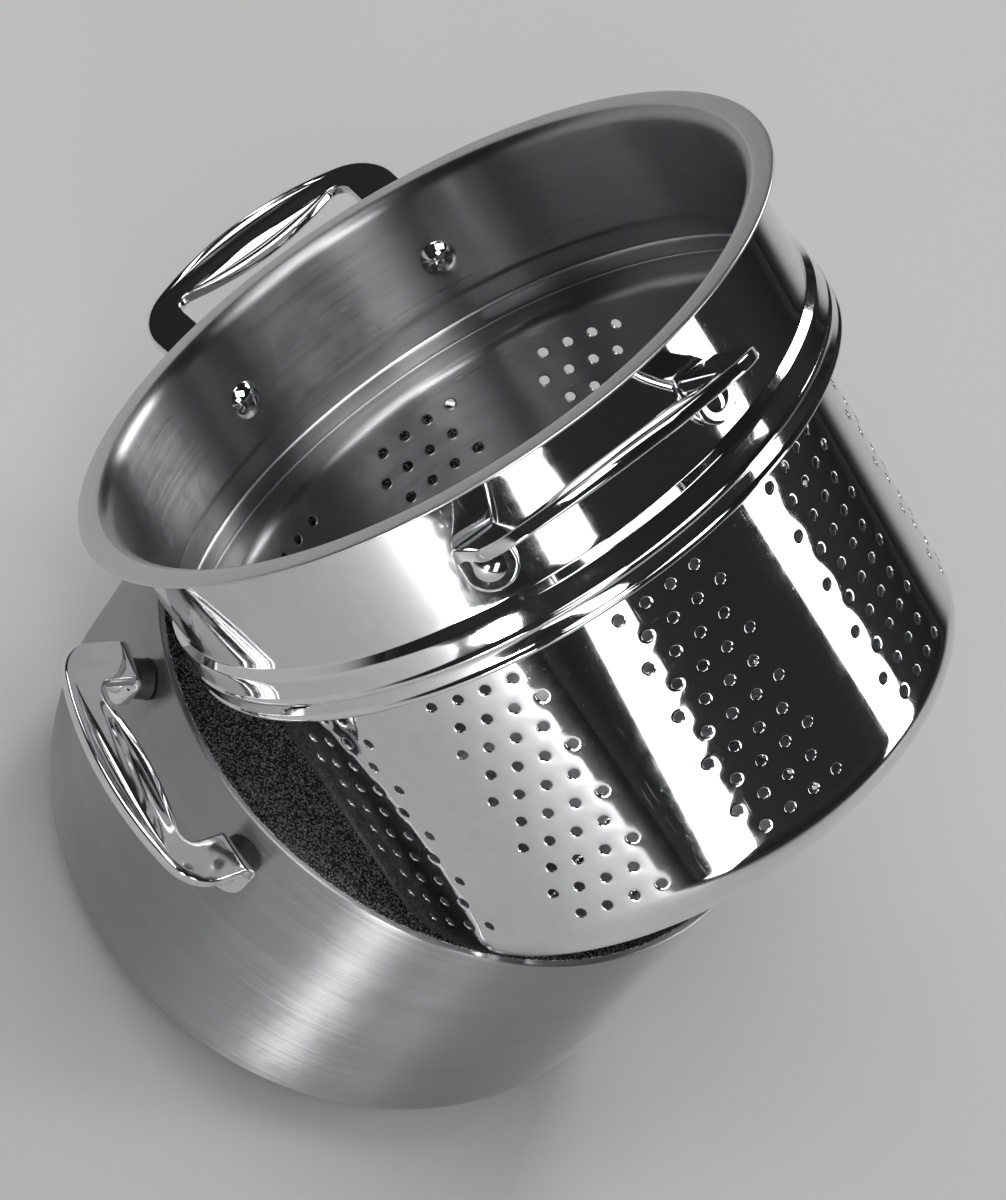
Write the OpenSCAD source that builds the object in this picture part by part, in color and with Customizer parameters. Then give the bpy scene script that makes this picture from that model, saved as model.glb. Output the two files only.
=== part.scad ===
// Pasta pot with a perforated strainer insert.
// Millimetres. Z is up, and the origin is the centre of the pot's underside.
// The pot's handles lie on the X axis.

/* [Pot] */
// Diameter inside the pot's rim
pot_inner_d = 236; // [196:1:290]
// Whole thickness of the pot's wall with its lining
pot_wall = 2.6; // [2:0.1:4]
// Thickness of the lining alone
lining = 0.4; // [0.3:0.05:0.6]
// Inside radius of the belly, where the wall turns into the floor
belly_r = 45; // [35:1:50]
// Room between the seated basket and the pot's floor
floor_gap = 10; // [10:1:40]

/* [Basket] */
// Gap between the basket's wall and the inside of the pot
basket_room = 6; // [4:0.5:20]
// Thickness of the sheet
sheet = 1; // [0.8:0.1:1.2]
// Outer radius between the basket's wall and its floor
corner_r = 20; // [14:1:24]
// Depth of the basket below its seat on the rim
basket_depth = 130; // [100:1:160]

/* [Collar] */
// How far the collar reaches over the rim's inner edge
collar_over = 5; // [3:0.5:12]
// Height from the seat to the underside of the lip
collar_h = 64; // [60:1:80]
// Height from the seat to the step in the collar
step_h = 20; // [18:0.5:26]
// How far the collar widens below the step
step_w = 2.5; // [1.5:0.25:4]
// Height of the band between the two ridges
band_h = 7; // [5:0.5:9]
// Radius of each ridge
ridge_r = 1.4; // [1.2:0.1:1.8]
// Width of the lip outside the collar
lip_w = 11; // [9:0.5:16]
// Radius of the bend under the lip
lip_bend = 4; // [3:0.5:6]

/* [Perforation] */
// Diameter of one hole
hole_d = 3.8; // [3:0.1:5]
// Distance between the holes of a row
hole_pitch = 10.3; // [9:0.1:11]
// Distance between rows
row_pitch = 10.3; // [9:0.1:12]
// Holes in each row of a group
group_holes = 4; // [2:1:4]
// Groups of holes round the wall
groups = 10; // [6:2:10]
// Plain height between the seat and the first row
plain_top = 9; // [7:0.5:16]
// Distance between the rings of holes in the floor
ring_pitch = 18; // [14:1:24]

/* [Pot handles] */
// Angle from the handle's centre line to each stud
stud_angle = 17.4; // [15:0.2:20]
// Reach of the handle from the wall to its outer edge
pot_reach = 43; // [40:1:55]
// Turn of the arms away from the handle's centre line
pot_arm_turn = 6; // [0:1:9]
// Radius of the loop's outer corners
pot_corner = 17; // [14:1:20]
// Depth of the studs below the rim
stud_drop = 15; // [13:0.5:22]
// Rise of the pot's handles
pot_rise = 10; // [0:1:16]
// Diameter of a stud
stud_d = 6; // [5:0.5:7]
// Diameter of a heat break
break_d = 15; // [13:0.5:17]
// Thickness of a heat break
break_h = 8; // [6:0.5:10]
// Diameter of a cap nut
nut_d = 11; // [10:0.5:12]
// Height of a cap nut
nut_h = 5; // [4.5:0.25:6]

/* [Strainer handles] */
// Angle from the handle's centre line to each rivet
rivet_angle = 21; // [19:0.2:23]
// Reach of the handle from the collar to its outer edge
strainer_reach = 58; // [54:1:64]
// Turn of the arms away from the handle's centre line
strainer_arm_turn = 2; // [0:1:6]
// Radius of the loop's outer corners
strainer_corner = 21; // [16:1:24]
// Depth of the rivets below the lip
rivet_drop = 29; // [28:0.5:32]
// Rise of the strainer's handles
strainer_rise = 19; // [10:1:24]
// Diameter of a rivet's shank
rivet_d = 6; // [5:0.5:7]
// Diameter of a rivet's domed head inside the collar
head_d = 14; // [12:0.5:15]
// Height of a rivet's domed head
head_h = 3.5; // [2.5:0.25:5]
// Diameter of a rivet's button outside the handle
button_d = 11; // [10:0.5:13]
// Height of a rivet's button
button_h = 1.4; // [1:0.1:2]

/* [Handle section] */
// Thickness of the handles' plate
plate = 4.4; // [4:0.1:5.5]
// Rounding of the plate's edges
plate_edge = 1.2; // [0.8:0.1:1.5]
// Width of the arms
arm_w = 16.5; // [15:0.5:18]
// Width at the middle of the grip
grip_w = 22; // [20:0.5:24]
// Radius of the round tabs at the arms' ends
tab_r = 9.5; // [8.5:0.25:10]
// Radius where a tab bends into its arm
bend_r = 4.5; // [4:0.25:7]
// Radius of the loop's inner corners
inner_corner = 5; // [4:0.5:8]
// Radius of the grip's outer edge
outer_bow = 110; // [90:1:140]
// Radius of the grip's inner edge, which bulges towards the pot
inner_bow = 95; // [80:1:140]
// Swell of the grip's upper side
crown = 1.3; // [0.8:0.1:2]
// Swell of the grip's underside
belly = 1.2; // [0.5:0.1:2]
// Depth of the two lens-shaped scoops in the grip
scoop = 1.6; // [1:0.1:2]
// Width of the ridge between the scoops
ridge_w = 6.8; // [5:0.2:8]
// Width of the thin rim beside each scoop
rim_w = 1.5; // [1.5:0.1:2.5]

/* [Place of the strainer] */
// The strainer leans in the pot's mouth, or hangs in the pot
place = "leaning"; // [leaning, seated]
// Lean of the strainer from upright
lean = 59; // [56:0.5:62]
// Turn of the lean round the pot
lean_turn = -56.3; // [-62:0.1:-50]
// Turn of the strainer about its own axis
strainer_turn = -39; // [-50:0.5:-36]

/* [Fits] */
// Gap where the strainer rests on the rim
rest_gap = 0.3; // [0.3:0.1:1]
// Gap round a shank in its hole
shank_gap = 0.05; // [0.03:0.01:0.2]

/* [Hidden] */

overrun = 1;
round_fn = 180;
hole_fn = 24;
shank_fn = 32;
cap_fn = 64;
arc_steps = 8;
tab_steps = 5;
bend_steps = 4;
corner_steps = 6;
grip_steps = 9;
edge_steps = 3;
scoop_steps = 4;
ridge_steps = 2;
swell_rate = 1.6;
swell_fall = 3.12;
lens_power = 0.75;
closed_lens = 0.04;
halvings = 16;
max_tilt = 85;
tilt_step = 0.5;
steel = [0.78, 0.78, 0.79];
polished = [0.86, 0.86, 0.87];
black = [0.09, 0.09, 0.10];

pot_inner_r = pot_inner_d / 2;
pot_outer_r = pot_inner_r + pot_wall;
shell = pot_wall - lining;
rim_z = pot_wall + floor_gap + basket_depth;
edge_round = 0.3;
shell_round = 0.7;

basket_r = pot_inner_r - basket_room;
collar_r = pot_inner_r + collar_over;
lip_z = basket_depth + collar_h;
lip_r = collar_r + lip_w;
seat_fillet = 3;

stud_z = rim_z - stud_drop;
tab_face = pot_outer_r + break_h;
rivet_z = lip_z - rivet_drop;
thread = 3;
thread_end = 0.2;
tab_top = max(nut_d, button_d) / 2 + edge_round;
foot_turn = 5;
tilt_room = step_h;

// Points of an arc
function arc(centre, r, from, to) = [
    for (i = [0 : arc_steps])
        let (a = from + (to - from) * i / arc_steps)
        centre + r * [cos(a), sin(a)]
];
function reversed(list) = [for (i = [len(list) - 1 : -1 : 0]) list[i]];
function unit(v) = v / norm(v);

// One step of a path to its left, square to it at both neighbours
function left_step(path, i) =
    let (
        last = len(path) - 1,
        d1 = unit(i == 0 ? path[1] - path[0] : path[i] - path[i - 1]),
        d2 = unit(i == last ? path[last] - path[last - 1] : path[i + 1] - path[i]),
        n1 = [-d1[1], d1[0]],
        m = unit(n1 + [-d2[1], d2[0]])
    )
    m / (m * n1);

// A closed outline of one thickness on the left of a path
function sheet_outline(path, t) = concat(
    path,
    reversed([for (i = [0 : len(path) - 1]) path[i] + t * left_step(path, i)])
);

module turned(outline) {
    rotate_extrude($fn = round_fn)
        polygon(outline);
}

// A spherical cap on the plane z = 0
module dome(d, h) {
    r = (d * d / 4 + h * h) / (2 * h);
    intersection() {
        translate([0, 0, h - r])
            sphere(r, $fn = cap_fn);
        cylinder(d = d + overrun, h = h + overrun, $fn = cap_fn);
    }
}

// Half of the pot's profile from the centre to the rim, one layer in from the outside
function pot_profile(inset) =
    let (k = belly_r + pot_wall - inset, r = pot_outer_r - inset)
    concat(
        [[0, inset]],
        arc([r - k, inset + k], k, -90, 0)
    );

module pot_body() {
    color(steel)
        turned(concat(
            pot_profile(0),
            arc([pot_outer_r - shell_round, rim_z - shell_round], shell_round, 0, 90),
            [[pot_outer_r - shell, rim_z]],
            reversed(pot_profile(shell))
        ));
}

module nonstick_lining() {
    color(black)
        turned(concat(
            pot_profile(shell),
            [[pot_outer_r - shell, rim_z]],
            arc([pot_inner_r + edge_round, rim_z - edge_round], edge_round, 90, 180),
            reversed(pot_profile(pot_wall))
        ));
}

// Puts a part on each stud of one handle, its axis pointing out of the wall
module at_studs(side) {
    rotate([0, 0, side])
        for (a = [-stud_angle, stud_angle])
            rotate([0, 0, a])
                translate([0, 0, stud_z])
                    rotate([0, 90, 0])
                        children();
}

// A part that stands on the round wall, from just inside it
module on_wall() {
    difference() {
        children();
        cylinder(r = pot_outer_r, h = rim_z, $fn = round_fn);
    }
}

module studs(side) {
    color(steel)
        on_wall()
            at_studs(side)
                translate([0, 0, pot_outer_r - overrun])
                    cylinder(d = stud_d, h = overrun + break_h + plate + thread, $fn = shank_fn);
}

module heat_breaks(side) {
    color(black)
        on_wall()
            at_studs(side)
                translate([0, 0, pot_outer_r - overrun])
                    difference() {
                        cylinder(d = break_d, h = overrun + break_h, $fn = cap_fn);
                        translate([0, 0, -overrun])
                            cylinder(d = stud_d + 2 * shank_gap, h = break_h + 3 * overrun,
                                $fn = shank_fn);
                    }
}

module cap_nuts(side) {
    color(polished)
        at_studs(side)
            translate([0, 0, tab_face + plate])
                difference() {
                    dome(nut_d, nut_h);
                    translate([0, 0, -overrun])
                        cylinder(d = stud_d + 2 * shank_gap, h = thread + overrun + thread_end,
                            $fn = shank_fn);
                }
}

// Handle loop: a tab at each end, an arm, a corner, and a grip with two scoops.
// Its middle lies on +X, and each half runs from a tab's foot to the grip's middle.

// One edge of half a loop seen from above: the end of the arm, the corner and the grip.
// A negative bow bulges towards the wall.
function loop_edge(turn, offset, corner, bow, tip) =
    let (
        arm = [cos(turn), sin(turn)],
        square = [-sin(turn), cos(turn)],
        hub = [tip - bow, 0],
        gap = bow - corner,
        miss = hub * square - offset + corner,
        centre = (hub * arm + sign(bow) * sqrt(gap * gap - miss * miss)) * arm
            + (offset - corner) * square,
        away = sign(bow) * (centre - hub),
        last_turn = atan2(away[1], away[0]),
        first_turn = 90 + turn,
        swing = asin((centre[1] + corner * sin(last_turn)) / abs(bow))
    )
    concat(
        [for (i = [0 : corner_steps])
            let (b = first_turn + (last_turn - first_turn) * i / corner_steps)
            centre + corner * [cos(b), sin(b)]],
        [for (i = [1 : grip_steps])
            let (b = swing * (1 - i / grip_steps))
            hub + [bow * cos(b), abs(bow) * sin(b)]]
    );

// A station is [inner edge, outer edge, upward normal, share of the grip, height in the tab]
function level_station(centre, across, normal, w, low) =
    [centre - across * w / 2, centre + across * w / 2, normal, 0, low];

function tab_station(mid, a, z, turn) =
    let (low = -tab_r * cos(turn))
    level_station(
        [mid * cos(a), mid * sin(a), z + low], [-sin(a), cos(a), 0],
        [-cos(a), -sin(a), 0], 2 * tab_r * sin(turn), low
    );

function bend_station(mid, a, z, rise, turn, share) =
    let (
        b = (90 - rise) * share,
        way = a + (turn - a) * share,
        out = bend_r * (1 - cos(b)),
        centre = [mid * cos(a) + out * cos(way), mid * sin(a) + out * sin(way),
            z + tab_top + bend_r * sin(b)],
        lean_turn = a * (1 - share),
        normal = [-cos(b) * cos(lean_turn), -cos(b) * sin(lean_turn), sin(b)],
        heading = [cos(way) * sin(b), sin(way) * sin(b), cos(b)],
        level = unit(heading - normal * (heading * normal))
    )
    level_station(
        centre, cross(normal, level), normal, 2 * tab_r + (arm_w - 2 * tab_r) * share, 0
    );

function half_handle(face, a, z, tip, turn, corner, rise) =
    let (
        mid = face + plate / 2,
        tab = [for (i = [0 : tab_steps - 1])
            tab_station(mid, a, z, foot_turn + (90 - foot_turn) * i / tab_steps)],
        bend = [for (i = [0 : bend_steps]) bend_station(mid, a, z, rise, turn, i / bend_steps)],
        root = (bend[bend_steps][0] + bend[bend_steps][1]) / 2,
        line = root * [-sin(turn), cos(turn), 0],
        inner = loop_edge(turn, line - arm_w / 2, inner_corner, -inner_bow, tip - grip_w),
        outer = loop_edge(turn, line + arm_w / 2, corner, outer_bow, tip),
        normal = [-sin(rise), 0, cos(rise)]
    )
    concat(tab, bend, [
        for (i = [0 : corner_steps + grip_steps]) [
            [inner[i][0], inner[i][1], root[2] + (inner[i][0] - root[0]) * tan(rise)],
            [outer[i][0], outer[i][1], root[2] + (outer[i][0] - root[0]) * tan(rise)],
            normal, max(0, i - corner_steps) / grip_steps, 0
        ]
    ]);

function mirrored(stations) = [
    for (s = stations)
        [
            [s[0][0], -s[0][1], s[0][2]], [s[1][0], -s[1][1], s[1][2]],
            [s[2][0], -s[2][1], s[2][2]], s[3], s[4]
        ]
];

// Half of the plate's thickness at a distance from its rounded edge
function plate_side(from_edge) =
    let (inset = plate_edge - min(max(from_edge, 0), plate_edge))
    plate / 2 - plate_edge + sqrt(plate_edge * plate_edge - inset * inset);

// Points of the section across one station, over the top and back below
function section_points(half, share, low) =
    let (
        eased = min(share * swell_rate, 1),
        open = pow(1 - pow(1 - share, 2), lens_power),
        rim = max(half - rim_w, half * 0.6),
        ridge = min(ridge_w / 2, rim * 0.6),
        mid = (rim + ridge) / 2,
        spread = (rim - ridge) / 2 * max(open, closed_lens),
        near = mid - spread,
        far = mid + spread,
        bevel = min(plate_edge, (half - rim) * 0.9),
        rounded = [for (i = [0 : edge_steps]) half - bevel * (1 - cos(90 * i / edge_steps))],
        scooped = [for (i = [0 : scoop_steps]) far + (near - far) * i / scoop_steps],
        ridged = [for (i = [1 : ridge_steps]) near * (1 - i / ridge_steps)],
        below = [for (i = [1 : ridge_steps]) (half - bevel) * (1 - i / ridge_steps)],
        swell = crown * eased * eased * (3 - 2 * eased),
        top = concat(rounded, scooped, ridged),
        under = concat(rounded, below)
    )
    concat(
        [for (v = both_sides(top, 1))
            [v, section_top(v, half, low, swell, near, far, scoop * open)]],
        [for (v = both_sides(under, -1))
            [v, -plate_side(from_edge(v, half, low))
                - belly * eased * max(0, 1 - v * v / half / half)]]
    );
function both_sides(list, first) = concat(
    first * list,
    -first * reversed([for (i = [0 : len(list) - 2]) list[i]])
);
function from_edge(v, half, low) = low == 0 ? half - abs(v) : tab_r - norm([low, v]);
function section_top(v, half, low, swell, near, far, depth) =
    let (
        edge = from_edge(v, half, low),
        t = (abs(v) - near) / (far - near),
        dip = t > 0 && t < 1 ? depth * 4 * t * (1 - t) * (1.25 - 0.5 * t) : 0,
        lift = swell * exp(-swell_fall * v * v / half / half) - dip
    )
    plate_side(edge) + lift * min(1, edge / plate_edge);

module loft(rings) {
    n = len(rings[0]);
    last = len(rings) - 1;
    polyhedron(
        [for (ring = rings) for (p = ring) p],
        concat(
            [[for (k = [0 : n - 1]) k]],
            [for (i = [0 : last - 1], k = [0 : n - 1])
                let (a = i * n + k, b = i * n + (k + 1) % n)
                for (tri = [[a, a + n, b], [b, a + n, b + n]]) tri],
            [[for (k = [n - 1 : -1 : 0]) last * n + k]]
        )
    );
}

module handle_loop(face, a, z, tip, turn, corner, rise) {
    side = half_handle(face, a, z, tip, turn, corner, rise);
    other = mirrored([for (i = [0 : len(side) - 2]) side[i]]);
    loft([
        for (s = concat(side, reversed(other)))
            let (centre = (s[0] + s[1]) / 2, across = unit(s[1] - s[0]))
            [for (q = section_points(norm(s[1] - s[0]) / 2, s[3], s[4]))
                centre + across * q[0] + s[2] * q[1]]
    ]);
}

module pot_handle(side) {
    color(polished)
        difference() {
            rotate([0, 0, side])
                handle_loop(tab_face, stud_angle, stud_z, pot_outer_r + pot_reach,
                    pot_arm_turn, pot_corner, pot_rise);
            at_studs(side)
                translate([0, 0, tab_face - overrun])
                    cylinder(d = stud_d + 2 * shank_gap, h = plate + 2 * overrun, $fn = shank_fn);
        }
}

// Outer profile of the strainer, from the centre of its floor to the edge of its lip
strainer_profile = concat(
    [[0, 0]],
    arc([basket_r - corner_r, corner_r], corner_r, -90, 0),
    arc([basket_r + seat_fillet, basket_depth - seat_fillet], seat_fillet, 180, 90),
    arc([collar_r + step_w, basket_depth + ridge_r], ridge_r, -90, 60),
    arc([collar_r + step_w, basket_depth + ridge_r + band_h], ridge_r, -60, 60),
    [
        [collar_r + step_w, basket_depth + step_h - step_w],
        [collar_r, basket_depth + step_h]
    ],
    arc([collar_r + lip_bend, lip_z - lip_bend], lip_bend, 180, 90),
    [[lip_r, lip_z]]
);

// Places a hole through the basket's wall
module wall_hole(angle, z) {
    rotate([0, 0, angle])
        translate([basket_r - 2 * sheet, 0, z])
            rotate([0, 90, 0])
                cylinder(d = hole_d, h = 3 * sheet, $fn = hole_fn);
}

module wall_holes() {
    pitch_angle = hole_pitch / basket_r * 180 / PI;
    top = basket_depth - seat_fillet - plain_top;
    rows = floor((top - corner_r - hole_d / 2) / row_pitch);
    for (group = [0 : groups - 1], row = [0 : rows], i = [0 : group_holes - 1])
        wall_hole(
            group * 360 / groups
                + (i - (group_holes - 1) / 2 + (row % 2 == 0 ? -0.25 : 0.25)) * pitch_angle,
            top - row * row_pitch
        );
}

module floor_holes() {
    rings = floor((basket_r - corner_r - hole_d) / ring_pitch);
    for (ring = [0 : rings], i = [0 : max(6 * ring - 1, 0)])
        rotate([0, 0, 60 / max(ring, 1) * i])
            translate([ring * ring_pitch, 0, -sheet])
                cylinder(d = hole_d, h = 3 * sheet, $fn = hole_fn);
}

// Puts a part on each rivet of one strainer handle, its axis pointing out of the collar
module at_rivets(side) {
    rotate([0, 0, side])
        for (a = [-rivet_angle, rivet_angle])
            rotate([0, 0, a])
                translate([0, 0, rivet_z])
                    rotate([0, 90, 0])
                        children();
}

module rivet_holes(side, from, length) {
    at_rivets(side)
        translate([0, 0, from])
            cylinder(d = rivet_d + 2 * shank_gap, h = length, $fn = shank_fn);
}

// The leaning strainer touches the rim's inner edge with its collar on one side
// and with the basket at two points on the other. No handle tab may meet the rim.
edge_r = pot_inner_r + edge_round;
axis_gap = collar_r + edge_round + rest_gap;
function base_place(tilt, h) = [
    axis_gap * cos(tilt) - edge_r + h * sin(tilt),
    axis_gap * sin(tilt) - edge_round - h * cos(tilt)
];

// A point of a ring on the rim, in the strainer's own place: [across, aside, up]
function rim_point(tilt, h, r, drop, angle) =
    let (
        base = base_place(tilt, h),
        x = r * cos(angle) - base[0],
        z = -drop - base[1]
    )
    [x * cos(tilt) + z * sin(tilt), r * sin(angle), z * cos(tilt) - x * sin(tilt)];

// Gap between the basket and the rim's inner edge at one angle
function basket_gap(tilt, h, angle) =
    let (
        p = rim_point(tilt, h, edge_r, edge_round, angle),
        q = [norm([p[0], p[1]]) - basket_r + corner_r, corner_r - p[2]]
    )
    norm([max(q[0], 0), max(q[1], 0)]) + min(max(q[0], q[1]), 0) - corner_r - edge_round;

// Gap between a handle's tab, as a disc, and a ring on the rim at one angle
function tab_gap(tilt, h, r, drop, round_r, tab_turn, angle) =
    let (
        p = rim_point(tilt, h, r, drop, angle),
        out = p[0] * cos(tab_turn) + p[1] * sin(tab_turn) - collar_r - plate / 2,
        aside = p[1] * cos(tab_turn) - p[0] * sin(tab_turn),
        q = [abs(out) - plate / 2, norm([aside, p[2] - rivet_z]) - tab_r]
    )
    norm([max(q[0], 0), max(q[1], 0)]) + min(max(q[0], q[1]), 0) - round_r;

function least_gap(tilt, h) = min(
    min([for (angle = [0 : 1 : 90]) basket_gap(tilt, h, angle)]),
    min([for (side = [0, 180], a = [-rivet_angle, rivet_angle], angle = [-180 : 1 : 179])
        min(
            tab_gap(tilt, h, edge_r, edge_round, edge_round, side + strainer_turn + a, angle),
            tab_gap(tilt, h, pot_outer_r - shell_round, shell_round, shell_round,
                side + strainer_turn + a, angle)
        )])
);

// The first tilt from the lean on at which the strainer finds room on the rim
function free_tilt(tilt) =
    tilt > max_tilt || least_gap(tilt, basket_depth + tilt_room) > rest_gap
        ? tilt
        : free_tilt(tilt + tilt_step);
tilt = free_tilt(lean);

// Height of the collar's contact above the floor, found by halving
function contact(low, high, steps) =
    let (h = (low + high) / 2)
    steps == 0
        ? low
        : least_gap(tilt, h) > rest_gap
            ? contact(h, high, steps - 1)
            : contact(low, h, steps - 1);
contact_h = contact(basket_depth + tilt_room, lip_z, halvings);
place_xz = base_place(tilt, contact_h);

module strainer_place() {
    if (place == "leaning")
        rotate([0, 0, lean_turn])
            translate([place_xz[0], 0, rim_z + place_xz[1]])
                rotate([0, -tilt, 0])
                    rotate([0, 0, strainer_turn])
                        children();
    else
        translate([0, 0, rim_z - basket_depth + rest_gap])
            children();
}

module strainer_basket() {
    color(polished)
        strainer_place()
            difference() {
                turned(sheet_outline(strainer_profile, sheet));
                wall_holes();
                floor_holes();
                rivet_holes(0, collar_r - 2 * sheet, 3 * sheet);
                rivet_holes(180, collar_r - 2 * sheet, 3 * sheet);
            }
}

module strainer_handle(side) {
    color(polished)
        strainer_place()
            difference() {
                rotate([0, 0, side])
                    handle_loop(collar_r, rivet_angle, rivet_z, collar_r + strainer_reach,
                        strainer_arm_turn, strainer_corner, strainer_rise);
                rivet_holes(side, collar_r - overrun, plate + 2 * overrun);
            }
}

module rivets(side) {
    inside = collar_r - sheet - head_d * head_d / 8 / collar_r;
    color(polished)
        strainer_place()
            at_rivets(side) {
                translate([0, 0, inside])
                    mirror([0, 0, 1])
                        dome(head_d, head_h);
                translate([0, 0, inside - head_h / 4])
                    cylinder(d = rivet_d, h = collar_r + plate + button_h / 2 - inside + head_h / 4,
                        $fn = shank_fn);
                translate([0, 0, collar_r + plate])
                    dome(button_d, button_h);
            }
}

pot_body();
nonstick_lining();
pot_handle(180);  // handle_left
pot_handle(0);  // handle_right
studs(180);  // studs_left
studs(0);  // studs_right
heat_breaks(180);  // heat_breaks_left
heat_breaks(0);  // heat_breaks_right
cap_nuts(180);  // cap_nuts_left
cap_nuts(0);  // cap_nuts_right
strainer_basket();
strainer_handle(0);  // strainer_handle_near
strainer_handle(180);  // strainer_handle_far
rivets(0);  // rivets_near
rivets(180);  // rivets_far
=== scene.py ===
# Pasta pot with its strainer leaning in the mouth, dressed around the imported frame
import math

import bpy
import numpy as np
from mathutils import Matrix, Vector
from mathutils.geometry import delaunay_2d_cdt


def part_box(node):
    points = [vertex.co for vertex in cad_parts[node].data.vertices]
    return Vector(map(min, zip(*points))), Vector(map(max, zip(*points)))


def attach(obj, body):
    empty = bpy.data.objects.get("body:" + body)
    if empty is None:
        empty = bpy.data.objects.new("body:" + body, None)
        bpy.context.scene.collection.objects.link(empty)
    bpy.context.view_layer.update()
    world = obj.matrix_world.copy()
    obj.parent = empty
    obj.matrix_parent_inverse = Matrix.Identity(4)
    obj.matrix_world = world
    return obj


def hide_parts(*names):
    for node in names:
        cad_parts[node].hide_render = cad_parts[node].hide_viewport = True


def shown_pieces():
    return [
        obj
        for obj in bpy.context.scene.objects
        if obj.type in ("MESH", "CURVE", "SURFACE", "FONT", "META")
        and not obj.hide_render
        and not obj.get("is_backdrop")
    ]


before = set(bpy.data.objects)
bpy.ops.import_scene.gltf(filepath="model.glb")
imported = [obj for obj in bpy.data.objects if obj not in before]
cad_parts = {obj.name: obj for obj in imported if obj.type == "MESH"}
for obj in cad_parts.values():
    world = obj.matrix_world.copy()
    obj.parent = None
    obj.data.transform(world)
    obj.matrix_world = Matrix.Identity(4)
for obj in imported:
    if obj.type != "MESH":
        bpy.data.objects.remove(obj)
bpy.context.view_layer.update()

scene = bpy.context.scene
mm = 0.001
print("frame loaded,", len(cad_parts), "nodes")


# small helpers for outlines, in millimetres

def arc(centre, radius, start, end, step=5):
    count = max(2, round(abs(end - start) / step))
    turns = [math.radians(start + (end - start) * k / count) for k in range(count + 1)]
    return [(centre[0] + radius * math.cos(t), centre[1] + radius * math.sin(t)) for t in turns]


def softened(path, spread, spacing=0.15):
    # the same path in even steps, its corners eased over about twice the spread
    path = np.array(path, float)
    length = np.concatenate([[0], np.cumsum(np.hypot(*np.diff(path, axis=0).T))])
    steps = np.linspace(0, length[-1], int(length[-1] / spacing) + 2)
    reach = int(4 * spread / spacing)
    weight = np.exp(-0.5 * (np.arange(-reach, reach + 1) * spacing / spread) ** 2)
    eased = []
    for k in (0, 1):
        even = np.interp(steps, length, path[:, k])
        before = 2 * even[0] - even[reach:0:-1]
        after = 2 * even[-1] - even[-2:-reach - 2:-1]
        eased.append(np.convolve(np.concatenate([before, even, after]), weight / weight.sum(), "valid"))
    return np.array(eased).T


def outwardNormals(path):
    # to the right of the way a path runs
    along = np.gradient(path, axis=0)
    along /= np.linalg.norm(along, axis=1)[:, None]
    return np.stack([along[:, 1], -along[:, 0]], axis=1)


def thinned(path, turn=4, reach=2.5):
    # which points of a dense path keep its shape
    heading = np.unwrap(np.arctan2(*np.gradient(path, axis=0).T[::-1]))
    kept = [0]
    for k in range(1, len(path) - 1):
        turned = abs(heading[k] - heading[kept[-1]]) > math.radians(turn)
        if turned or np.hypot(*(path[k] - path[kept[-1]])) > reach:
            kept.append(k)
    return kept + [len(path) - 1]


# meshes and pieces

def makePiece(name, points, faces, body, materials, pick=None, replaced=(), spots=None, crease=35):
    # points in metres in the frame; spots are the same points in the piece's own upright place
    mesh = bpy.data.meshes.new(name)
    mesh.from_pydata([tuple(p) for p in points], [], faces)
    mesh.update()
    if pick is not None:
        mesh.polygons.foreach_set("material_index", np.array(pick, np.int32))
    mesh.shade_smooth()
    mesh.set_sharp_from_angle(angle=math.radians(crease))
    own = np.asarray(points if spots is None else spots, np.float32)
    mesh.attributes.new("ownSpot", "FLOAT_VECTOR", "POINT").data.foreach_set("vector", own.ravel())
    turnUv(mesh, own)
    for material in materials:
        mesh.materials.append(material)
    piece = bpy.data.objects.new(name, mesh)
    scene.collection.objects.link(piece)
    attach(piece, body)
    if replaced:
        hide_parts(*replaced)
    return piece


def turnUv(mesh, own):
    # u runs once round the piece's own axis, v up and out along it
    corners = np.empty(len(mesh.loops), np.int32)
    mesh.loops.foreach_get("vertex_index", corners)
    around = np.arctan2(own[:, 1], own[:, 0]) / (2 * math.pi)
    u = around[corners]
    starts = np.empty(len(mesh.polygons), np.int32)
    mesh.polygons.foreach_get("loop_start", starts)
    counts = np.empty(len(mesh.polygons), np.int32)
    mesh.polygons.foreach_get("loop_total", counts)
    first = np.repeat(u[starts], counts)
    u = u - np.round(u - first)
    v = (own[:, 2] + np.hypot(own[:, 0], own[:, 1]))[corners]
    layer = mesh.uv_layers.new(name="turned")
    layer.data.foreach_set("uv", np.stack([u, v], axis=1).astype(np.float32).ravel())


def ringFaces(a, b, closed=True):
    # quads between two rings of vertex numbers
    count = len(a) if closed else len(a) - 1
    return [(a[k], a[(k + 1) % len(a)], b[(k + 1) % len(a)], b[k]) for k in range(count)]


def moved(points, matrix):
    turn = np.array(matrix.to_3x3())
    return np.asarray(points, float) @ turn.T + np.array(matrix.translation)


# shader helpers

def put(tree, kind, inputs=None, **settings):
    # one node; an input is a plain value or another node's output
    node = tree.nodes.new(kind)
    for name, value in settings.items():
        setattr(node, name, value)
    for key, value in (inputs or {}).items():
        if isinstance(value, bpy.types.NodeSocket):
            tree.links.new(value, node.inputs[key])
        else:
            node.inputs[key].default_value = value
    return node


def maths(tree, operation, a, b=None, c=None):
    given = {k: v for k, v in enumerate((a, b, c)) if v is not None}
    return put(tree, "ShaderNodeMath", given, operation=operation).outputs[0]


def ranged(tree, value, low, high, toLow, toHigh):
    inputs = {"Value": value, "From Min": low, "From Max": high, "To Min": toLow, "To Max": toHigh}
    return put(tree, "ShaderNodeMapRange", inputs).outputs[0]


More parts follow.
